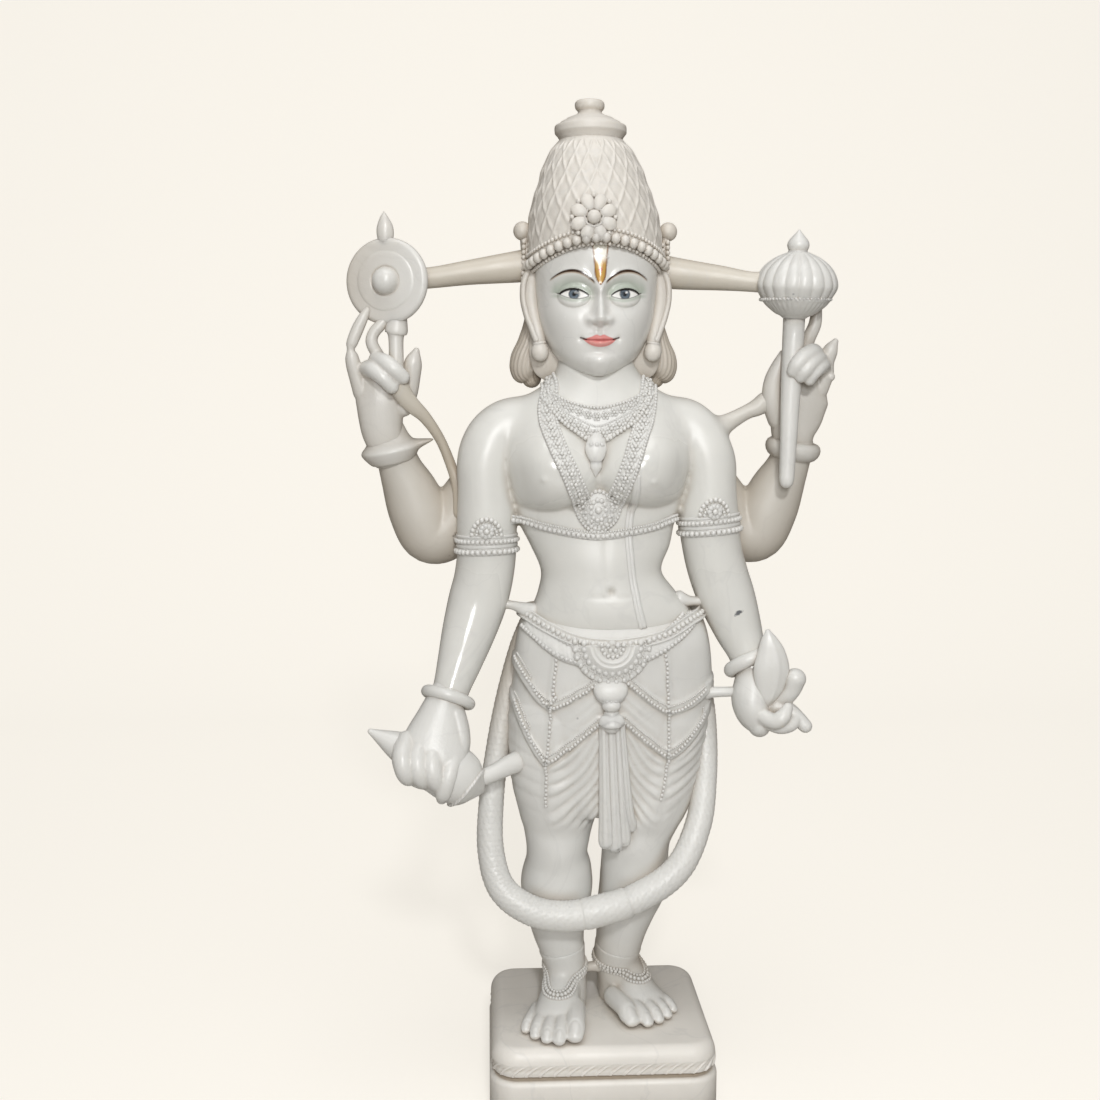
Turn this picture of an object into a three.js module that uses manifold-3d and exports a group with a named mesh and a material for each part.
// A standing four-armed Vishnu, carved from one block of white marble together with its plinth, its
// attributes and the struts between them.
// Millimetres, +Z up. The figure faces -Y, and the origin is the middle of the plinth's underside.
import * as THREE from "three";
import { mergeVertices } from "three/addons/utils/BufferGeometryUtils.js";
import Module from "manifold-3d";

const wasm = await Module();
wasm.setup();

// The plinth: a plain block, a cut groove, and a slab with a rope round its foot.
const plinthWidth = 208;
const plinthDepth = 180;
const blockHeight = 46;
const grooveHeight = 4;
const grooveDepth = 5;
const slabHeight = 25;
const cornerRadius = 26;
const blockEdge = 5;
const slabRound = 11;
const ropeHeight = 14;
const ropeBulge = 3;
const strandPitch = 12.6;
const strandRelief = 2;
const plinthTop = blockHeight + grooveHeight + slabHeight;

// The figure: its pose is drawn for a figure 840 mm tall and scales with its own height.
const drawnHeight = 840;
const figureHeight = 840;
const share = figureHeight / drawnHeight;
const standX = -3;
const standY = -2;

// What it wears and holds.
const crownRadius = 62;
const crownDiscRadius = 31.5;
const finialRadius = 13;
const chakraRadius = 38;
const chakraRim = 9;
const chakraBossRadius = 12;
const maceRadius = 37;
const maceRibs = 14;
const maceRibDepth = 1.6;
const maceShaftRadius = 9;
const conchRadius = 25;
const petalHalfWidth = 14.5;
const petalHalfThickness = 7;
const garlandRadius = 11;
const garlandFrontRadius = 14;
const necklaceHalfWidth = 8;
const braceletThickness = 5.5;
const strutRadius = 5;
const mostTriangles = 8900;

const front = new THREE.Vector3(0, -1, 0);
const up = new THREE.Vector3(0, 0, 1);
const aside = new THREE.Vector3(1, 0, 0);

// A point of the drawn figure, with z counted from its soles.
const at = (x, y, z) => new THREE.Vector3(x * share + standX, y * share + standY, plinthTop + z * share);

// A closed body from pointAt(t, turn): t runs 0..1 from end to end and turn 0..1 around it.
function closedSurface(pointAt, along, around) {
  const points = [];
  for (let i = 0; i <= along; i++)
    for (let j = 0; j < around; j++) points.push(pointAt(i / along, j / around));
  const endCentre = (first) => {
    const middle = new THREE.Vector3();
    for (let j = 0; j < around; j++) middle.addScaledVector(points[first + j], 1 / around);
    return middle;
  };
  const lastRing = along * around;
  const startPole = points.length;
  points.push(endCentre(0), endCentre(lastRing));
  const index = [];
  for (let j = 0; j < around; j++) {
    const next = (j + 1) % around;
    index.push(startPole, next, j, startPole + 1, lastRing + j, lastRing + next);
    for (let i = 0; i < along; i++) {
      const low = i * around;
      const high = low + around;
      index.push(low + j, low + next, high + next, low + j, high + next, high + j);
    }
  }
  return new THREE.BufferGeometry().setFromPoints(points).setIndex(index);
}

// A closed ring from pointAt(turn, side): turn runs 0..1 round the ring and side 0..1 round its section.
function closedRing(pointAt, along, around) {
  const points = [];
  for (let i = 0; i < along; i++)
    for (let j = 0; j < around; j++) points.push(pointAt(i / along, j / around));
  const index = [];
  for (let i = 0; i < along; i++)
    for (let j = 0; j < around; j++) {
      const low = i * around;
      const high = ((i + 1) % along) * around;
      const next = (j + 1) % around;
      index.push(low + j, low + next, high + next, low + j, high + next, high + j);
    }
  return new THREE.BufferGeometry().setFromPoints(points).setIndex(index);
}

// A geometry as a solid with its faces pointing out.
function solid(geometry) {
  const bare = geometry.clone();
  bare.deleteAttribute("normal");
  bare.deleteAttribute("uv");
  const merged = mergeVertices(bare, 1e-4);
  const corners = [];
  for (let i = 0; i < merged.index.count; i += 3) {
    const [a, b, c] = [0, 1, 2].map((k) => merged.index.getX(i + k));
    if (a !== b && b !== c && c !== a) corners.push(a, b, c);
  }
  const vertProperties = merged.attributes.position.array;
  const made = (triVerts) =>
    new wasm.Manifold(new wasm.Mesh({ numProp: 3, vertProperties, triVerts: Uint32Array.from(triVerts) }));
  const body = made(corners);
  return body.volume() > 0 ? body : made(corners.reverse());
}

// Joins any number of solids, two by two.
function join(solids) {
  if (solids.length === 1) return solids[0];
  const half = Math.ceil(solids.length / 2);
  return join(solids.slice(0, half)).add(join(solids.slice(half)));
}

// Sets of vertices that hang together by faces: the root of each vertex.
function bodyOf(faces, count) {
  const parent = Array.from({ length: count }, (_, i) => i);
  const root = (v) => {
    while (parent[v] !== v) v = parent[v] = parent[parent[v]];
    return v;
  };
  for (const [a, b, c] of faces) {
    parent[root(a)] = root(b);
    parent[root(b)] = root(c);
  }
  return parent.map((_, v) => root(v));
}

// Merges the least noticeable edges of a solid until so many triangles are left. The error of a merge is the
// squared distance from the planes of the faces it stands for, times care(point). A merge must keep the
// surface closed and fold no face over, and only the largest connected body is kept.
function thinned(body, most, care) {
  const mesh = body.getMesh();
  const points = [];
  for (let i = 0; i < mesh.vertProperties.length; i += 3)
    points.push(Array.from(mesh.vertProperties.slice(i, i + 3)));
  let faces = [];
  for (let i = 0; i < mesh.triVerts.length; i += 3) faces.push(Array.from(mesh.triVerts.slice(i, i + 3)));
  const roots = bodyOf(faces, points.length);
  const sizes = new Map();
  for (const [a] of faces) sizes.set(roots[a], (sizes.get(roots[a]) ?? 0) + 1);
  const main = [...sizes].sort((a, b) => b[1] - a[1])[0][0];
  faces = faces.filter(([a]) => roots[a] === main);

  const minus = (a, b) => [a[0] - b[0], a[1] - b[1], a[2] - b[2]];
  const dot = (a, b) => a[0] * b[0] + a[1] * b[1] + a[2] * b[2];
  const cross = (a, b) => [a[1] * b[2] - a[2] * b[1], a[2] * b[0] - a[0] * b[2], a[0] * b[1] - a[1] * b[0]];
  const normal = (a, b, c) => cross(minus(b, a), minus(c, a));
  const errors = points.map(() => new Float64Array(10));
  for (const face of faces) {
    const [a, b, c] = face.map((v) => points[v]);
    const n = normal(a, b, c);
    const size = Math.sqrt(dot(n, n));
    if (size < 1e-9) continue;
    const weight = size * care(a);
    const [x, y, z] = n.map((v) => v / size);
    const d = -dot([x, y, z], a);
    const terms = [x * x, x * y, x * z, x * d, y * y, y * z, y * d, z * z, z * d, d * d];
    for (const v of face) terms.forEach((term, k) => (errors[v][k] += term * weight));
  }
  const errorAt = (e, [x, y, z]) =>
    e[0] * x * x + e[4] * y * y + e[7] * z * z + e[9] +
    2 * (e[1] * x * y + e[2] * x * z + e[3] * x + e[5] * y * z + e[6] * y + e[8] * z);
  const merge = (a, b) => {
    const e = errors[a].map((v, k) => v + errors[b][k]);
    const middle = points[a].map((v, k) => (v + points[b][k]) / 2);
    const span = minus(points[a], points[b]);
    const length = Math.sqrt(dot(span, span));
    const places = [points[a], points[b], middle];
    const columns = [[e[0], e[1], e[2]], [e[1], e[4], e[5]], [e[2], e[5], e[7]]];
    const [p, q, r] = columns;
    const scale = dot(p, cross(q, r));
    const right = [-e[3], -e[6], -e[8]];
    if (Math.abs(scale) > 1e-3 * (e[0] + e[4] + e[7]) ** 3) {
      const parts = [dot(right, cross(q, r)), dot(p, cross(right, r)), dot(p, cross(q, right))];
      const best = parts.map((v) => v / scale);
      const away = minus(best, middle);
      if (Math.sqrt(dot(away, away)) < length) places.push(best);
    }
    const ranked = places.map((place) => [errorAt(e, place), place]).sort((x, y) => x[0] - y[0]);
    return { a, b, e, point: ranked[0][1], cost: ranked[0][0] + 1e-4 * length ** 3 };
  };
  while (faces.length > most) {
    const around = points.map(() => []);
    faces.forEach((face, i) => face.forEach((v) => around[v].push(i)));
    const merges = [];
    for (const face of faces)
      face.forEach((a, k) => a < face[(k + 1) % 3] && merges.push(merge(a, face[(k + 1) % 3])));
    merges.sort((p, q) => p.cost - q.cost);
    const ring = (v) => new Set(around[v].flatMap((i) => faces[i]));
    const touched = new Uint8Array(points.length);
    const folds = (v, other, point) =>
      around[v].some((i) => {
        if (faces[i].includes(other)) return false;
        const old = normal(...faces[i].map((w) => points[w]));
        const corners = faces[i].map((w) => (w === v ? point : points[w]));
        const now = normal(...corners);
        const [wasLong, isLong] = [old, now].map((n) => Math.sqrt(dot(n, n)));
        const longest = Math.max(...corners.map((c, k) => Math.hypot(...minus(c, corners[(k + 1) % 3]))));
        return isLong < 0.03 * longest ** 2 || (wasLong > 1e-3 && dot(old, now) < 0.3 * wasLong * isLong);
      });
    let [spare, turns] = [faces.length - most, Math.ceil(merges.length * 0.06)];
    const before = faces.length;
    for (const { a, b, e, point } of merges) {
      if (spare <= 0 || turns <= 0) break;
      if (touched[a] || touched[b]) continue;
      const [ringA, ringB] = [ring(a), ring(b)];
      if ([...ringA].filter((v) => ringB.has(v)).length !== 4) continue;
      if (folds(a, b, point) || folds(b, a, point)) continue;
      for (const v of [...ringA, ...ringB]) touched[v] = 1;
      for (const i of around[b])
        faces[i] = faces[i].includes(a) ? null : faces[i].map((v) => (v === b ? a : v));
      points[a] = point;
      errors[a] = e;
      spare -= 2;
      turns -= 1;
    }
    faces = faces.filter(Boolean);
    if (faces.length === before) break;
  }
  const geometry = new THREE.BufferGeometry();
  geometry.setAttribute("position", new THREE.BufferAttribute(Float32Array.from(points.flat()), 3));
  return solid(geometry.setIndex(faces.flat()));
}

// A smooth run of numbers through the rows of a table: valuesAt(t) for t from 0 to 1.
function smoothRows(rows) {
  const columns = rows[0].map((_, k) => rows.map((row) => row[k]));
  return (t) => {
    const place = t * (rows.length - 1);
    const i = Math.min(Math.floor(place), rows.length - 2);
    const f = place - i;
    return columns.map((c) => {
      const [p, q, r, s] = [c[Math.max(i - 1, 0)], c[i], c[i + 1], c[Math.min(i + 2, c.length - 1)]];
      const [bend, twist] = [2 * p - 5 * q + 4 * r - s, 3 * q - p - 3 * r + s];
      return 0.5 * (2 * q + (r - p) * f + bend * f * f + twist * f ** 3);
    });
  };
}

// A limb, finger or strut. Each row is [x, y, z, half width, half depth]; the depth points towards facing.
function limb(rows, along, around, facing = front) {
  const values = smoothRows(rows);
  const centre = (t) => at(...values(t).slice(0, 3));
  const step = 0.01;
  return solid(
    closedSurface(
      (t, turn) => {
        const [, , , wide, deep] = values(t);
        const way = centre(Math.min(t + step, 1)).sub(centre(Math.max(t - step, 0))).normalize();
        const depth = facing.clone().addScaledVector(way, -facing.dot(way)).normalize();
        const width = new THREE.Vector3().crossVectors(way, depth);
        const angle = turn * 2 * Math.PI;
        return centre(t)
          .addScaledVector(width, wide * share * Math.cos(angle))
          .addScaledVector(depth, deep * share * Math.sin(angle));
      },
      along,
      around,
    ),
  );
}

// A finger: a thin limb that tapers to a rounded tip.
const finger = (points, thickness, facing) =>
  limb(
    points.map((p, i) => {
      const radius = i === points.length - 1 ? thickness * 0.6 : thickness * (1 - (0.15 * i) / points.length);
      return [...p, radius, radius];
    }),
    points.length * 2,
    8,
    facing,
  );

// An egg-shaped lump round a point, with a half size along each axis.
function lump([x, y, z], [halfX, halfY, halfZ], around = 6) {
  const ball = new THREE.SphereGeometry(1, around, Math.ceil(around * 0.6));
  ball.scale(halfX * share, halfY * share, halfZ * share);
  const centre = at(x, y, z);
  return solid(ball.translate(centre.x, centre.y, centre.z));
}

// A turned piece from start towards end: rows of [distance along the axis, radius], swelled by rib(turn).
function turned(start, end, rows, around, rib = () => 0) {
  const from = at(...start);
  const axis = at(...end).sub(from).normalize();
  const side = new THREE.Vector3().crossVectors(axis, Math.abs(axis.y) > 0.9 ? up : front).normalize();
  const other = new THREE.Vector3().crossVectors(axis, side);
  return solid(
    closedSurface(
      (t, turn) => {
        const [distance, radius] = rows[Math.round(t * (rows.length - 1))];
        const angle = turn * 2 * Math.PI;
        const reach = (radius + rib(turn, radius)) * share;
        return from
          .clone()
          .addScaledVector(axis, distance * share)
          .addScaledVector(side, reach * Math.cos(angle))
          .addScaledVector(other, reach * Math.sin(angle));
      },
      rows.length - 1,
      around,
    ),
  );
}

// A bangle round a wrist or an arm, square to way: half width and half depth of its ring, its thickness and
// its height.
function bangle(middle, way, wide, deep, thickness, high = thickness) {
  const along = new THREE.Vector3(...way).normalize();
  const depth = front.clone().addScaledVector(along, -front.dot(along)).normalize();
  const width = new THREE.Vector3().crossVectors(along, depth);
  return solid(
    closedRing(
      (turn, sideTurn) => {
        const [a, b] = [turn * 2 * Math.PI, sideTurn * 2 * Math.PI];
        const out = thickness * Math.cos(b);
        const rise = high * Math.sign(Math.sin(b)) * Math.abs(Math.sin(b)) ** (thickness / high);
        return at(...middle)
          .addScaledVector(width, (wide + out) * share * Math.cos(a))
          .addScaledVector(depth, (deep + out) * share * Math.sin(a))
          .addScaledVector(along, rise * share);
      },
      20,
      6,
    ),
  );
}

// A body of level sections. Each row is [z, middle x, half width, front, back], with front and back counted
// from y = 0.
function sectioned(rows, along, around, square, swell = () => 0) {
  const values = smoothRows(rows);
  return solid(
    closedSurface(
      (t, turn) => {
        const [z, middle, wide, ahead, behind] = values(t);
        const angle = turn * 2 * Math.PI;
        const power = 2 / square;
        const across = Math.sign(Math.cos(angle)) * Math.abs(Math.cos(angle)) ** power;
        const deep = Math.abs(Math.sin(angle)) ** power;
        const x = middle + wide * across;
        return Math.sin(angle) > 0 ? at(x, behind * deep, z) : at(x, -ahead * deep - swell(x, z) * deep, z);
      },
      along,
      around,
    ),
  );
}

const hill = (x, z, [middleX, middleZ], [reachX, reachZ]) =>
  Math.exp(-(((x - middleX) / reachX) ** 2) - ((z - middleZ) / reachZ) ** 2);

// Rings of points one above the other, closed at both ends. Neighbouring rings may differ in their number of
// points: each step goes to the ring whose next point comes first round the middle.
function stitched(rings) {
  const points = rings.flat();
  const starts = rings.map((_, i) => rings.slice(0, i).flat().length);
  const lead = (ring, k) => {
    const p = ring[k % ring.length];
    const angle = Math.atan2(p.y, p.x);
    const first = Math.atan2(ring[0].y, ring[0].x);
    return ((angle - first + 4 * Math.PI + 1e-6) % (2 * Math.PI)) + (k >= ring.length ? 2 * Math.PI : 0);
  };
  const index = [];
  for (let r = 0; r + 1 < rings.length; r++) {
    const [low, high] = [rings[r], rings[r + 1]];
    const [a, b] = [starts[r], starts[r + 1]];
    for (let i = 0, j = 0; i < low.length || j < high.length; ) {
      const onLow = j >= high.length || (i < low.length && lead(low, i + 1) <= lead(high, j + 1));
      const [p, q] = [a + (i % low.length), b + (j % high.length)];
      if (onLow) index.push(p, a + (++i % low.length), q);
      else index.push(p, b + (++j % high.length), q);
    }
  }
  const foot = points.push(new THREE.Vector3(0, 0, rings[0][0].z)) - 1;
  const head = points.push(new THREE.Vector3(0, 0, rings.at(-1)[0].z)) - 1;
  rings[0].forEach((_, i, ring) => index.push(foot, (i + 1) % ring.length, i));
  const last = starts.at(-1);
  rings.at(-1).forEach((_, i, ring) => index.push(head, last + i, last + ((i + 1) % ring.length)));
  return new THREE.BufferGeometry().setFromPoints(points).setIndex(index);
}

// The outline of the plinth in plan, set in by some amount, at some height.
function planRing(inset, z, arcPoints = 2, evenly = 0) {
  const [halfX, halfY, r] = [plinthWidth / 2 - inset, plinthDepth / 2 - inset, cornerRadius - inset];
  const outline = new THREE.Shape();
  outline.absarc(halfX - r, halfY - r, r, 0, Math.PI / 2, false);
  outline.absarc(r - halfX, halfY - r, r, Math.PI / 2, Math.PI, false);
  outline.absarc(r - halfX, r - halfY, r, Math.PI, 1.5 * Math.PI, false);
  outline.absarc(halfX - r, r - halfY, r, 1.5 * Math.PI, 2 * Math.PI, false);
  outline.closePath();
  const points = evenly ? outline.getSpacedPoints(evenly).slice(0, -1) : outline.getPoints(arcPoints);
  const apart = (p, q) => p.distanceTo(q) > 1e-3;
  return points
    .filter((p, i, all) => i === 0 || (apart(p, all[i - 1]) && apart(p, all[0])))
    .map((p) => new THREE.Vector3(p.x, p.y, z));
}

// The plinth, with a rope round the slab's foot whose strands lean: high and low points take turns along both
// of its edges.
function plinth() {
  const ropeFoot = blockHeight + grooveHeight;
  const slabFoot = ropeFoot + ropeHeight;
  const wayRound = 2 * (plinthWidth + plinthDepth) - (8 - 2 * Math.PI) * cornerRadius;
  const strands = Math.round(wayRound / strandPitch);
  const ropeRing = (z, turn) => {
    const [high, low] = [0, strandRelief].map((inset) => planRing(inset, z, 0, strands * 2));
    return high.map((p, i) => ((i + turn) % 2 ? p : low[i]));
  };
  const rounding = [0, 0.5, 1].map((t) => {
    const angle = (t * Math.PI) / 2;
    const inset = ropeBulge + slabRound * (1 - Math.cos(angle));
    return planRing(inset, slabFoot + (plinthTop - slabFoot) * Math.sin(angle));
  });
  return solid(
    stitched([
      planRing(0, 0),
      planRing(0, blockHeight - blockEdge),
      planRing(blockEdge, blockHeight),
      planRing(blockEdge + grooveDepth, blockHeight),
      planRing(blockEdge + grooveDepth, ropeFoot),
      planRing(ropeBulge, ropeFoot),
      ropeRing(ropeFoot + ropeHeight * 0.2, 0),
      ropeRing(ropeFoot + ropeHeight * 0.8, 1),
      ...rounding,
    ]),
  );
}

// Chest and back, with the two full breasts of the heroic torso, a soft belly and its crease at the navel.
const torsoRows = [
  [385, 13, 74, 42, 36],
  [403, 9, 63, 41, 31],
  [422, 4, 55.5, 39, 27],
  [445, 3, 64, 38, 28],
  [465, 0, 71, 37, 30],
  [485, 0, 77, 37, 32],
  [505, 0, 82, 38, 34],
  [527, 0, 88, 39, 36],
  [547, 0, 91, 38, 36],
  [562, 0, 86, 35, 36],
  [575, 0, 74, 33, 36],
  [586, 0, 57, 31, 36],
  [597, 0, 42, 30, 35],
  [610, -2, 35, 29, 34],
  [630, -3, 33, 26, 34],
];
const breastCentres = [
  [-46, 515],
  [46, 517],
];
const torsoSwell = (x, z) => {
  const breasts = breastCentres.map((c) => 19 * hill(x, z, c, [35, z < c[1] ? 21 : 44]) ** 0.85);
  const belly = 6 * hill(x, z, [9, 385], [44, 17]) + 4 * hill(x, z, [6, 430], [36, 22]);
  return breasts[0] + breasts[1] + belly;
};
const torsoSquare = 2.3;
const torso = () => sectioned(torsoRows, 30, 40, torsoSquare, torsoSwell);

// The hips and the cloth over them, down to where the thighs part.
const hipRows = [
  [196, 4, 62, 34, 28],
  [206, 5, 78, 38, 33],
  [233, 8, 87, 43, 39],
  [262, 9, 91, 46, 44],
  [290, 12, 92, 48, 48],
  [319, 14, 90, 49, 50],
  [347, 15, 87, 49, 48],
  [375, 15, 81, 46, 42],
  [389, 14, 76, 43, 38],
  [400, 12, 66, 38, 33],
];
const hipSquare = 2.35;
const hips = () => sectioned(hipRows, 12, 28, hipSquare);

// Right leg (the viewer's left) stands straight; the left leg is eased back and turned out.
const legs = () => [
  limb(
    [
      [-28, 6, -4, 19, 21],
      [-27, 6, 21, 19, 21],
      [-28.5, 5, 41, 19, 20],
      [-31.5, 4, 58, 21.5, 22],
      [-35, 3, 78, 25.5, 25],
      [-36, 3, 100, 31, 30],
      [-36.5, 2, 122, 34, 33],
      [-36, 0, 140, 32, 31],
      [-36.5, -2, 155, 28.5, 29],
      [-36, -2, 172, 31, 31],
      [-36, -1, 192, 35.5, 35],
      [-39, -2, 233, 41, 40],
      [-38, 0, 285, 44, 44],
    ],
    20,
    14,
  ),
  limb(
    [
      [27, 20, -4, 20, 21],
      [25, 20, 19, 20, 21],
      [22, 18, 40, 20.5, 21],
      [24, 15, 55, 22, 23],
      [27, 12, 75, 24.5, 26],
      [31, 8, 97, 28.5, 30],
      [37, 3, 124, 32.5, 33],
      [37.5, -2, 154, 31.5, 31],
      [39, -4, 173, 32.5, 32],
      [45, -4, 193, 35.5, 36],
      [53, -2, 214, 38.5, 39],
      [56, -1, 240, 40.5, 41],
      [60, 0, 285, 44, 44],
    ],
    20,
    14,
  ),
];

// A foot: heel, instep and ball as one limb along the ground, then five toes side by side.
function foot(heel, ball, halfWidth, toeTips) {
  const along = (t) => heel.map((v, k) => v + (ball[k] - v) * t);
  const row = (t, z, wide, high) => [...along(t), z, wide, high];
  const sole = limb(
    [
      row(-0.1, 7, halfWidth * 0.45, 10),
      row(0.05, 14, halfWidth * 0.75, 17),
      row(0.3, 18, halfWidth * 0.84, 21),
      row(0.65, 13, halfWidth * 0.95, 16),
      row(0.95, 8, halfWidth * 1.05, 11),
      row(1.15, 6, halfWidth * 0.95, 8),
    ],
    8,
    12,
    up,
  );
  const toes = toeTips.map(([x, y], i) => {
    const thick = i === 0 ? 8 : 6.2 - i * 0.25;
    const root = along(0.95).map((v, k) => v + ([x, y][k] - along(1)[k]) * 0.5);
    return limb(
      [
        [...root, thick - 1, thick, thick * 1.05],
        [(root[0] + x) / 2, (root[1] + y) / 2, thick, thick, thick * 1.1],
        [x, y + thick * 0.5, thick - 1, thick, thick * 0.95],
        [x, y - thick * 0.2, thick - 2, thick * 0.6, thick * 0.55],
      ],
      5,
      8,
      up,
    );
  });
  return [sole, ...toes];
}

const feet = () => [
  ...foot([-27, 26], [-41, -52], 22, [
    [-24, -78],
    [-38, -81],
    [-49, -77],
    [-59, -68],
    [-67, -54],
  ]),
  ...foot([22, 40], [51, -20], 21, [
    [32, -50],
    [46, -50],
    [57, -44],
    [66, -34],
    [73, -21],
  ]),
];

// A body's level section at some height: middle x, half width, front and back.
function levelOf(rows, z) {
  const above = rows.findIndex((row) => row[0] > z);
  const i = above < 0 ? rows.length - 2 : Math.max(0, above - 1);
  const f = Math.min(1, Math.max(0, (z - rows[i][0]) / (rows[i + 1][0] - rows[i][0])));
  return rows[i].map((v, k) => v + (rows[i + 1][k] - v) * f).slice(1);
}

// The point of a body's front at some x and z, standing proud of it by rise.
function onFront(rows, square, x, z, rise, swell = () => 0) {
  const [middle, wide, ahead] = levelOf(rows, z);
  const across = Math.min(0.97, Math.abs((x - middle) / wide));
  return [x, -(ahead + swell(x, z)) * (1 - across ** square) ** (1 / square) - rise, z];
}

// A carved ridge over the cloth through some points of its front, [x, z] each.
const clothRidge = (points, halfWidth, rise = 1.5, sag = 0) =>
  limb(
    Array.from({ length: 7 }, (_, i) => {
      const t = (i / 6) * (points.length - 1);
      const k = Math.min(Math.floor(t), points.length - 2);
      const [x, z] = [0, 1].map((c) => points[k][c] + (points[k + 1][c] - points[k][c]) * (t - k));
      const level = z - sag * Math.sin((i / 6) * Math.PI);
      return [...onFront(hipRows, hipSquare, x, level, rise), halfWidth, halfWidth * 0.8];
    }),
    4,
    4,
  );

// The wrapped cloth: two chevron hems on each thigh, a beaded edge down its middle, and folds that hang
// below.
function clothFolds() {
  const thighs = [
    { mid: -45, outer: -74, inner: 3, hems: [[333, 302, 317], [301, 262, 290]] },
    { mid: 62, outer: 97, inner: 19, hems: [[338, 304, 317], [296, 268, 303]] },
  ];
  const foldCount = 4;
  return thighs.flatMap(({ mid, outer, inner, hems }) => {
    const chevrons = hems.flatMap(([outerZ, footZ, innerZ], i) => [
      clothRidge([[outer, outerZ], [(outer + mid) / 2, (outerZ + footZ) / 2 - 3], [mid, footZ]], 4.2, 1.2),
      clothRidge([[inner, innerZ], [(inner + mid) / 2, (innerZ + footZ) / 2 - 2], [mid, footZ]], 4.2, 1.2),
    ]);
    const edge = clothRidge([[mid, 358], [mid, 206]], 3, 1);
    const folds = Array.from({ length: foldCount }, (_, i) => {
      const z = 268 - i * 13;
      const foot = [mid, z - 16];
      const inside = [[inner + (mid - inner) * (0.12 + 0.05 * i), z + 6], [(inner + mid) / 2, z - 12], foot];
      const outside = [[outer * 0.97, z + 14 - i * 3], [(outer + mid) / 2, z - 6 - i * 3], foot];
      return [clothRidge(inside, 2.8, 0.5, 3), clothRidge(outside, 2.8, 0.5, 3)];
    });
    return [...chevrons, edge, ...folds.flat()];
  });
}

// The sash that hangs between the thighs, pleated and spread at its foot.
function sash() {
  const pleats = 4;
  return solid(
    closedSurface(
      (t, turn) => {
        const z = 292 - t * 122;
        const angle = turn * 2 * Math.PI;
        const wide = 9 + 6 * t;
        const middle = 9.5 + 8 * t;
        const fold = Math.sin(angle) > 0 ? 1.6 * Math.cos(pleats * 2 * angle) : 0;
        const droop = t > 0.99 ? 4 * Math.cos(angle * 3) : 0;
        return at(middle + wide * Math.cos(angle), -46 + 2 * t - (9 + fold) * Math.sin(angle), z - droop);
      },
      6,
      28,
    ),
  );
}

// The girdle: a band from hip to hip between two cords, a half-round jewelled plate and the knot below it.
function girdle() {
  const around = (drop, wide, deep, rise) =>
    limb(
      Array.from({ length: 13 }, (_, i) => {
        const angle = ((i - 6) / 6) * 2.1;
        const z = 374 - drop + 18 * (1 - Math.cos(angle));
        const [middle, half, ahead, behind] = levelOf(hipRows, z);
        const x = middle + (half + rise) * Math.sin(angle);
        const y = Math.cos(angle) > 0 ? -(ahead + rise) * Math.cos(angle) ** 0.8 : behind * -Math.cos(angle);
        return [x, y, z, wide, deep];
      }),
      20,
      6,
      up,
    );
  const face = [10, -44, 364];
  const rows = [
    [0, 42],
    [7, 42],
    [9, 39],
    [9, 31],
    [10.5, 29],
    [12, 21],
    [12.5, 15],
    [15.5, 11],
    [16.5, 4],
  ];
  const petals = 22;
  const plate = turned(face, [face[0], face[1] - 20, face[2] - 3], rows, petals * 2, (turn, radius) =>
    radius > 38 ? 1.2 * Math.cos(turn * petals * 2 * Math.PI) : 0,
  );
  const above = new THREE.BoxGeometry(120 * share, 60 * share, 60 * share);
  const cut = at(face[0], face[1], face[2] + 30);
  return [
    around(1, 2.6, 5.5, 2),
    around(-6, 4, 3, 3),
    around(8, 4, 3, 4),
    plate.subtract(solid(above.translate(cut.x, cut.y, cut.z))),
    lump([10, -54, 313], [15, 9, 9], 10),
    lump([10.5, -56, 298], [9, 9, 8], 10),
    lump([11, -54, 287], [11, 8, 7], 10),
  ];
}

// The two arms in front: the right hand closes on the conch, the left holds a lotus petal.
const frontArms = () => [
  limb(
    [
      [-58, 5, 564, 18, 22],
      [-80, 2, 557, 23, 25],
      [-95, -1, 542, 26, 26.5],
      [-102, -3, 521, 25.5, 26.5],
      [-103, -4, 498, 24, 25.5],
      [-101, -3, 470, 27, 26],
      [-101, -1, 440, 27, 26],
      [-104, 0, 415, 27, 26],
      [-110, -2, 392, 27, 25],
      [-118, -9, 366, 24.5, 23],
      [-126, -19, 341, 20.5, 20],
      [-133, -27, 320, 17, 17],
      [-138, -31, 306, 16, 16],
    ],
    20,
    14,
  ),
  limb(
    [
      [58, 5, 564, 18, 22],
      [80, 2, 557, 23, 25],
      [93, -1, 542, 25, 26.5],
      [101, -3, 521, 25.5, 26.5],
      [103, -4, 498, 24.5, 25.5],
      [103, -3, 470, 27.5, 26],
      [107, -1, 440, 27, 26],
      [114, 0, 415, 27, 26],
      [122, -3, 392, 26, 25],
      [131, -9, 366, 22, 22],
      [138, -16, 346, 17.5, 18],
      [144, -23, 326, 15, 16],
    ],
    20,
    14,
  ),
];

// The two arms behind: upper arm out and down, forearm straight up to the shoulder's height.
const rearArms = () =>
  [-1, 1].map((side) =>
    limb(
      [
        [side * 62, 22, 560, 20, 14],
        [side * 88, 27, 528, 25, 18],
        [side * 116, 31, 486, 27, 21],
        [side * 138, 32, 458, 29, 24],
        [side * 154, 31, 453, 28, 25],
        [side * 164, 28, 474, 28, 25],
        [side * 172, 24, 495, 25, 22],
        [side * 180, 19, 515, 20, 18],
        [side * 186, 14, 538, 17, 15],
      ],
      20,
      14,
      front,
    ),
  );

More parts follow.
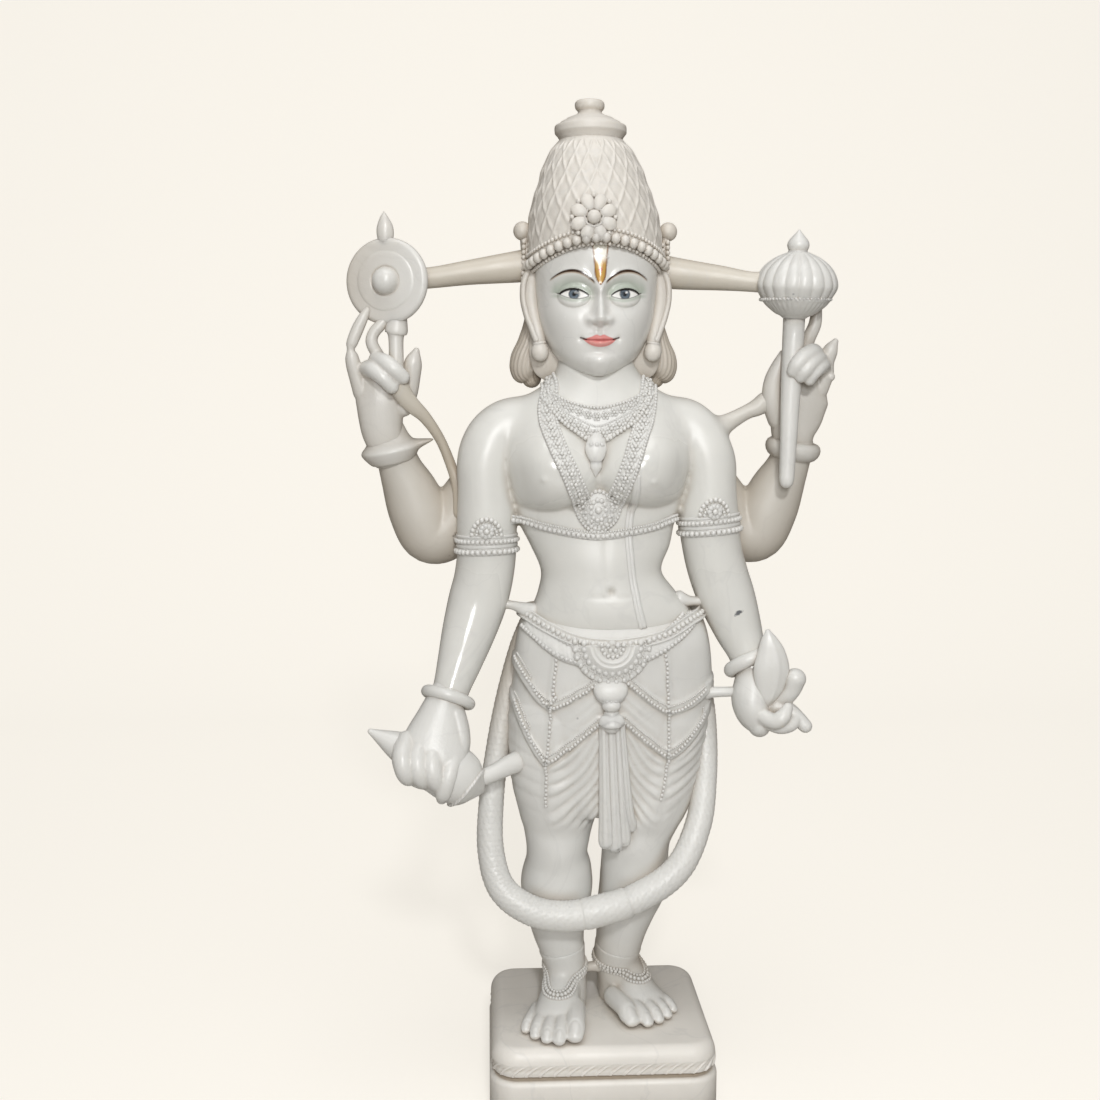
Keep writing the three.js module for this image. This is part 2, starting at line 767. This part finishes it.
const conchFist = () => [
  limb(
    [
      [-138, -31, 310, 15.5, 15],
      [-144, -38, 291, 23, 19],
      [-149, -45, 273, 29.5, 22],
      [-151, -50, 257, 33, 23],
      [-150, -51, 243, 31, 20],
      [-149, -48, 233, 24, 13],
    ],
    8,
    14,
  ),
  ...[-177, -163, -149, -136].map((x, i) =>
    finger(
      [
        [x, -58, 258 - i * 3],
        [x + 1, -70, 243 - i * 4],
        [x + 3, -66, 227 - i * 4],
        [x + 6, -50, 222 - i * 2],
      ],
      8.8,
      aside,
    ),
  ),
  finger([[-124, -44, 286], [-118, -54, 270], [-122, -62, 255], [-134, -66, 246]], 8.5),
];

const petalHand = () => [
  limb(
    [
      [145, -23, 330, 14, 15],
      [143, -27, 314, 16, 20],
      [144, -31, 298, 18, 22],
      [150, -34, 284, 17, 19],
      [157, -36, 277, 9, 11],
    ],
    8,
    12,
  ),
  finger([[146, -48, 294], [158, -58, 289], [171, -59, 289], [181, -50, 297]], 8.5, up),
  finger([[154, -38, 286], [168, -42, 285], [180, -46, 284], [190, -47, 286]], 8, up),
  finger([[158, -34, 298], [170, -38, 306], [176, -42, 318], [180, -43, 333]], 8),
];

const chakraHand = () => [
  limb(
    [
      [-190, 13, 533, 16, 13],
      [-195, 11, 548, 19, 14],
      [-198, 9, 565, 20.5, 13],
      [-199, 7, 582, 20.5, 12],
      [-203, 6, 600, 15, 9],
    ],
    8,
    12,
  ),
  finger([[-213, 5, 590], [-221, 2, 616], [-217, 0, 639], [-209, 0, 656]], 6.4),
  finger([[-194, 2, 598], [-201, 0, 618], [-202, 0, 632], [-198, 0, 650]], 6),
  finger([[-204, -2, 604], [-190, -13, 600], [-176, -13, 598], [-170, -4, 604]], 8.5, up),
  finger([[-198, -4, 592], [-186, -13, 586], [-175, -12, 585], [-168, -3, 590]], 8, up),
  finger([[-172, 4, 574], [-168, 4, 590], [-166, 3, 606], [-164, 2, 619]], 8),
];

const maceHand = () => [
  limb(
    [
      [184, 14, 531, 16, 13],
      [185, 12, 548, 20, 14],
      [187, 10, 566, 25, 13],
      [188, 9, 585, 27, 12],
      [192, 8, 602, 22, 9],
    ],
    8,
    12,
  ),
  finger([[162, 6, 580], [161, 3, 596], [165, 2, 610], [172, 2, 622]], 8.5),
  finger([[190, 4, 600], [194, 3, 622], [197, 0, 640], [197, -4, 658]], 7),
  finger([[166, -6, 604], [176, -24, 604], [190, -26, 606], [206, -8, 608]], 9.5, up),
  finger([[168, -8, 596], [178, -24, 595], [190, -24, 597], [202, -6, 600]], 8, up),
  finger([[209, 5, 578], [211, 3, 598], [214, 2, 614], [217, 1, 628]], 8),
];

const chakra = () => {
  const middle = [-187, 0, 682];
  const wheel = turned(
    [middle[0], chakraRim / 2, middle[2]],
    [middle[0] - 4, -14, middle[2]],
    [
      [0, chakraRadius - 1.5],
      [chakraRim * 0.2, chakraRadius],
      [chakraRim * 0.8, chakraRadius],
      [chakraRim, chakraRadius - 2],
      [chakraRim + 0.4, chakraRadius * 0.72],
      [chakraRim + 2.6, chakraRadius * 0.66],
      [chakraRim + 3.4, chakraBossRadius * 1.1],
      [chakraRim + 6, chakraBossRadius],
      [chakraRim + 10, chakraBossRadius * 0.6],
    ],
    32,
  );
  const leaf = limb(
    [
      [-189, 0, middle[2] + chakraRadius - 6, 6.5, 4],
      [-189.5, 0, middle[2] + chakraRadius + 6, 7.8, 5.5],
      [-190, 0, middle[2] + chakraRadius + 15, 5.5, 4],
      [-190, 0, middle[2] + chakraRadius + 22, 0.8, 0.8],
    ],
    7,
    10,
  );
  const stem = limb(
    [
      [-180, 2, middle[2] - chakraRadius + 6, 9, 8],
      [-180.5, 0, middle[2] - chakraRadius - 6, 8.5, 8],
      [-181, -2, 612, 8, 8],
      [-182, -4, 586, 8, 8],
    ],
    5,
    10,
  );
  return [wheel, leaf, stem];
};

const mace = () => {
  const foot = [172.5, -16, 500];
  const head = [176.5, -10, 652];
  const flute = (turn, radius) =>
    radius > maceRadius * 0.6 ? -maceRibDepth * (1 - Math.cos(turn * maceRibs * 2 * Math.PI)) : 0;
  const shaft = turned(
    foot,
    head,
    [
      [0, maceShaftRadius * 0.35],
      [4, maceShaftRadius * 0.66],
      [70, maceShaftRadius * 0.85],
      [162, maceShaftRadius],
    ],
    12,
  );
  const cap = turned(
    head,
    [head[0], head[1], head[2] + 10],
    [
      [-1, maceShaftRadius * 1.1],
      [4, maceRadius * 0.42],
      [11, maceRadius * 0.74],
      [16, maceRadius * 0.88],
      [18, maceRadius * 0.7],
    ],
    20,
  );
  const bulb = turned(
    [head[0], head[1], head[2] + 15],
    [head[0], head[1], head[2] + 25],
    [
      [0, maceRadius * 0.84],
      [4, maceRadius * 0.95],
      [12, maceRadius],
      [22, maceRadius * 0.94],
      [31, maceRadius * 0.76],
      [37, maceRadius * 0.52],
      [40, maceRadius * 0.3],
    ],
    maceRibs * 2,
    flute,
  );
  const tip = turned(
    [head[0], head[1], head[2] + 52],
    [head[0], head[1], head[2] + 62],
    [
      [0, 9],
      [6, 8],
      [12, 9.5],
      [17, 6.5],
      [24, 0.8],
    ],
    12,
  );
  return [shaft, cap, bulb, tip];
};

const conch = () => [
  turned(
    [-208, -50, 285],
    [-104, -44, 236],
    [
      [0, 1.5],
      [14, 5],
      [32, 10],
      [48, conchRadius * 0.6],
      [62, conchRadius * 0.85],
      [76, conchRadius * 0.95],
      [88, conchRadius],
      [99, conchRadius * 0.9],
      [107, conchRadius * 0.66],
      [109, conchRadius * 0.56],
      [114, conchRadius * 0.48],
      [118, conchRadius * 0.18],
    ],
    18,
  ),
];

const petal = () =>
  limb(
    [
      [150, -40, 305, 4, 4],
      [153, -42, 318, petalHalfWidth * 0.62, petalHalfThickness * 0.9],
      [155, -43, 334, petalHalfWidth, petalHalfThickness],
      [155, -44, 352, petalHalfWidth * 0.82, petalHalfThickness * 0.85],
      [153, -44, 371, 3, 2],
    ],
    9,
    12,
  );

const bangles = () => [
  bangle([-136.5, -30, 310], [-0.3, -0.35, -0.9], 19, 18, braceletThickness),
  bangle([141, -19, 336], [0.27, -0.35, -0.9], 17, 17, braceletThickness),
  bangle([-184, 15, 529], [-0.3, -0.15, 0.9], 20.5, 17, braceletThickness),
  bangle([183.5, 15, 529], [0.25, -0.15, 0.9], 20.5, 17, braceletThickness),
  bangle([-101, -1, 462], [0, 0, 1], 26.5, 26, 3, 9),
  bangle([103.5, -1, 470], [-0.08, 0, 1], 27, 26, 3, 9),
  ...[-101, 103].map((x, i) => {
    const foot = 466 + i * 8;
    return limb(
      [
        [x, -26, foot, 13, 3],
        [x, -28, foot + 12, 9, 3.5],
        [x, -26, foot + 24, 3, 2],
      ],
      4,
      8,
    );
  }),
];

// The head: level sections from chin to crown, with brow, eyes, nose, lips and chin raised on the front.
const headMiddle = -2;
const chinLevel = 601;
const mouthLevel = 628;
const noseLevel = 643;
const eyeLevel = 667;
const browLevel = 683;
const eyeSpacing = 22;
const faceSwell = (x, z) => {
  const side = Math.abs(x - headMiddle);
  const alongNose = (z - noseLevel) / (browLevel - noseLevel);
  const tipShare = Math.max(0, 1 - Math.abs(alongNose));
  const bridge = alongNose > 0 ? 3 + 9 * tipShare : 12 * Math.exp(-(((z - noseLevel) / 3.5) ** 2));
  const nose = z < browLevel + 8 ? bridge * Math.exp(-((side / (5 + 4 * tipShare)) ** 2)) : 0;
  const wings = 3 * hill(side, z, [7, noseLevel + 2], [4, 4]);
  const brow = 3 * hill(side, z, [20, browLevel], [17, 5]);
  const socket = -5 * hill(side, z, [eyeSpacing - 1, eyeLevel + 2], [13, 9]);
  const eyeball = 4.5 * hill(side, z, [eyeSpacing, eyeLevel], [11, 5]);
  const cheek = 2.5 * hill(side, z, [30, noseLevel + 4], [14, 14]);
  const upperLip = 4.5 * hill(side, z, [0, mouthLevel + 3], [13, 3]);
  const lowerLip = 4.5 * hill(side, z, [0, mouthLevel - 4], [10, 3.4]);
  const chin = 4 * hill(side, z, [0, chinLevel + 9], [13, 7]);
  return nose + wings + brow + socket + eyeball + cheek + upperLip + lowerLip + chin;
};
const head = () =>
  sectioned(
    [
      [chinLevel - 3, headMiddle, 8, 38, -8],
      [chinLevel + 1, headMiddle, 20, 43, 6],
      [chinLevel + 9, headMiddle, 32, 46, 22],
      [chinLevel + 20, headMiddle, 41, 47, 36],
      [chinLevel + 32, headMiddle, 47, 47, 44],
      [648, headMiddle, 51.5, 48, 48],
      [664, headMiddle, 53.5, 48, 50],
      [682, headMiddle, 55, 49, 52],
      [700, headMiddle, 56, 49, 52],
      [722, headMiddle, 55, 46, 50],
    ],
    40,
    64,
    2.15,
    faceSwell,
  );

const ears = () =>
  [-1, 1].flatMap((side) => [
    limb(
      [
        [headMiddle + side * 53, 4, 690, 3, 4],
        [headMiddle + side * 60, 2, 679, 6, 9],
        [headMiddle + side * 62, 1, 662, 6.5, 11],
        [headMiddle + side * 58, -2, 645, 5.5, 9],
        [headMiddle + side * 53, -4, 632, 4.5, 7],
        [headMiddle + side * 49, -5, 624, 3, 4],
      ],
      9,
      10,
    ),
    lump([headMiddle + side * 50, -9, 621], [7, 7, 9], 10),
  ]);

const hair = () => [
  ...[-1, 1].map((side) =>
    limb(
      [
        [headMiddle + side * 50, 18, 700, 8, 12],
        [headMiddle + side * 53, 19, 672, 10, 15],
        [headMiddle + side * 55, 20, 646, 10, 17],
        [headMiddle + side * 58, 22, 625, 13.5, 18],
        [headMiddle + side * 59, 22, 609, 16, 17],
        [headMiddle + side * 57, 22, 598, 11, 11],
        [headMiddle + side * 55, 22, 594, 3, 3],
      ],
      12,
      12,
    ),
  ),
  lump([headMiddle, 34, 624], [58, 22, 46], 18),
];

// The tall crown: its rim is high over the brow and low at the nape, and it leans a little to one side.
const crown = () => {
  const foot = 692;
  const profile = [
    [0, crownRadius - 6],
    [1, crownRadius + 1],
    [4, crownRadius + 5],
    [9, crownRadius + 5],
    [12, crownRadius + 1],
    [13, crownRadius - 1],
    [30, crownRadius - 2.5],
    [46, crownRadius * 0.93],
    [60, crownRadius * 0.87],
    [74, crownRadius * 0.79],
    [88, crownRadius * 0.715],
    [100, crownRadius * 0.62],
    [109, crownRadius * 0.52],
    [114, crownRadius * 0.44],
    [119, crownDiscRadius],
    [125, crownDiscRadius],
    [132, crownDiscRadius * 0.63],
    [136, crownDiscRadius * 0.36],
    [138, finialRadius * 0.8],
    [141, finialRadius],
    [145, finialRadius],
    [148, finialRadius * 0.75],
  ];
  const body = solid(
    closedSurface(
      (t, turn) => {
        const [height, r] = profile[Math.round(t * (profile.length - 1))];
        const angle = turn * 2 * Math.PI;
        const rise = 20 * Math.max(0, -Math.sin(angle)) ** 2 * Math.max(0, 1 - height / 110);
        const lean = headMiddle - 6 * (height / 148);
        return at(lean + r * Math.cos(angle), 1 + r * 0.94 * Math.sin(angle), foot + height + rise);
      },
      profile.length - 1,
      24,
    ),
  );
  const flower = turned(
    [-7, -50, 733],
    [-7, -62, 735],
    [
      [0, 15],
      [9, 15],
      [11, 7],
      [16, 5],
    ],
    14,
    (turn, radius) => (radius > 10 ? 2.2 * Math.cos(turn * 14 * Math.PI) : 0),
  );
  const knobs = [-1, 1].flatMap((side) => {
    const besideRim = headMiddle + side * (crownRadius + 2);
    return [
      lump([besideRim + side, 6, foot + 35], [8.5, 8.5, 9], 8),
      limb(
        [
          [besideRim - side * 3, 6, foot - 8, 6, 8],
          [besideRim - side * 2, 6, foot + 12, 5, 7],
          [besideRim, 6, foot + 32, 5, 6],
        ],
        3,
        6,
      ),
    ];
  });
  return [body, flower, ...knobs];
};

// Necklaces: a broad collar with its drop, the long flowered strand, and the cord under the breasts.
function necklaces() {
  const onChest = (x, z, rise) => onFront(torsoRows, torsoSquare, x, z, rise, torsoSwell);
  const strand = (points, wide, thick, rise, along) =>
    limb(points.map(([x, z]) => [...onChest(x, z, rise), wide, thick]), along, 6);
  const drop = onChest(-4, 530, 3);
  const collar = [-46, -35, -20, -4, 12, 28, 41].map((x, i) => [x, [577, 559, 549, 545, 549, 559, 577][i]]);
  const long = [
    [-52, 586],
    [-49, 560],
    [-41, 528],
    [-31, 498],
    [-22, 474],
    [-2, 460],
    [18, 474],
    [26, 498],
    [35, 528],
    [44, 560],
    [50, 586],
  ];
  const cord = [-74, -50, -25, 0, 25, 48, 68].map((x, i) => [x, [476, 464, 458, 456, 458, 464, 473][i]]);
  return [
    strand(collar, 12, 4, 0.5, 12),
    lump(drop, [8, 6, 13], 8),
    strand(long, necklaceHalfWidth, 4, 0.5, 24),
    strand(cord, 3.4, 3.4, 0.4, 12),
  ];
}

// The great garland, from behind the hips down across the shins.
const garland = () =>
  limb(
    [
      [-58, 30, 372],
      [-70, 24, 344],
      [-83, 12, 298],
      [-92, 3, 252],
      [-98, -8, 207],
      [-99, -20, 164],
      [-89, -32, 131],
      [-63, -41, 113],
      [-31, -45, 108],
      [3, -46, 114],
      [38, -41, 124],
      [74, -33, 147],
      [94, -22, 185],
      [101, -11, 224],
      [103, -2, 262],
      [101, 8, 298],
      [92, 22, 340],
      [80, 30, 368],
    ].map((p, i, all) => {
      const frontShare = Math.sin((i / (all.length - 1)) * Math.PI) ** 3;
      const radius = garlandRadius + (garlandFrontRadius - garlandRadius) * frontShare;
      return [...p, radius, radius];
    }),
    40,
    10,
    new THREE.Vector3(0, -0.8, -0.6),
  );

// Bridges of stone left standing between the free parts.
const struts = () => [
  limb(
    [
      [-48, 8, 698, 15, 12],
      [-80, 7, 696, 14, 11],
      [-115, 5, 691, 11, 10],
      [-150, 3, 685.5, 9.5, 8],
      [-168, 2, 684, 8, 5],
    ],
    10,
    10,
  ),
  limb(
    [
      [48, 8, 693, 15, 12],
      [80, 5, 690, 13.5, 11],
      [112, 0, 686, 11, 10],
      [142, -5, 682, 9, 8],
      [158, -9, 681, 8, 6],
    ],
    10,
    10,
  ),
  limb(
    [
      [100, 4, 545, 13, 9],
      [120, 5, 556, 10.5, 8],
      [140, 6, 567, 8.5, 8],
      [164, 8, 578, 11, 8],
    ],
    5,
    8,
  ),
  limb(
    [
      [-184, -6, 588, 7, 6],
      [-176, -3, 570, 6.5, 5],
      [-160, 5, 553, 5, 5],
      [-144, 14, 536, 5, 5],
      [-133, 17, 508, 5.5, 5],
      [-127, 14, 474, 7, 6],
    ],
    16,
    8,
  ),
  limb(
    [
      [-168, 15, 526, 7, 5],
      [-156, 14, 534, 4, 4],
      [-144, 14, 538, 3, 3],
    ],
    5,
    8,
  ),
  limb(
    [
      [-114, -46, 240, 8, 7],
      [-86, -36, 244, 7.5, 7],
      [-58, -26, 243, 9, 8],
    ],
    5,
    8,
  ),
  limb(
    [
      [92, -18, 308, strutRadius + 1, strutRadius + 1],
      [114, -24, 311, strutRadius, strutRadius],
      [138, -29, 312, strutRadius, strutRadius],
    ],
    5,
    8,
  ),
  limb(
    [
      [-92, -2, 393, strutRadius, strutRadius],
      [-74, -6, 389, strutRadius, strutRadius],
      [-56, -10, 384, strutRadius, strutRadius],
    ],
    5,
    8,
  ),
  limb(
    [
      [78, -8, 394, strutRadius, strutRadius],
      [94, -6, 393, strutRadius, strutRadius],
      [108, -4, 396, strutRadius, strutRadius],
    ],
    5,
    8,
  ),
  limb(
    [
      [-16, 8, 33, strutRadius, strutRadius],
      [-3, 10, 34, strutRadius - 0.5, strutRadius - 0.5],
      [12, 12, 34, strutRadius, strutRadius],
    ],
    5,
    8,
  ),
];

const figure = join([
  ...feet(),
  ...legs(),
  hips(),
  ...clothFolds(),
  sash(),
  ...girdle(),
  torso(),
  ...frontArms(),
  ...rearArms(),
  ...conchFist(),
  ...petalHand(),
  ...chakraHand(),
  ...maceHand(),
  ...chakra(),
  ...mace(),
  ...conch(),
  petal(),
  ...bangles(),
  head(),
  ...ears(),
  ...hair(),
  ...crown(),
  ...necklaces(),
  garland(),
  ...struts(),
]);

// The face keeps more of its triangles than the rest of the figure.
const faceCare = ([x, y, z]) => {
  const level = (z - plinthTop) / share;
  const onFace = y < 0 && Math.abs(x) < crownRadius * share && level > chinLevel && level < browLevel + 22;
  return onFace ? 6 : 1;
};

const carved = thinned(figure, mostTriangles, faceCare).add(plinth()).getMesh();
const geometry = new THREE.BufferGeometry();
geometry.setAttribute("position", new THREE.BufferAttribute(Float32Array.from(carved.vertProperties), 3));
geometry.setIndex(new THREE.BufferAttribute(Uint32Array.from(carved.triVerts), 1));
geometry.computeVertexNormals();

const whiteMarble = new THREE.MeshStandardMaterial({ color: 0xdedcd6, roughness: 0.35, metalness: 0 });
const statue = new THREE.Mesh(geometry, whiteMarble);
statue.name = "vishnu_figure";

const part = new THREE.Group();
part.add(statue);

export default part;
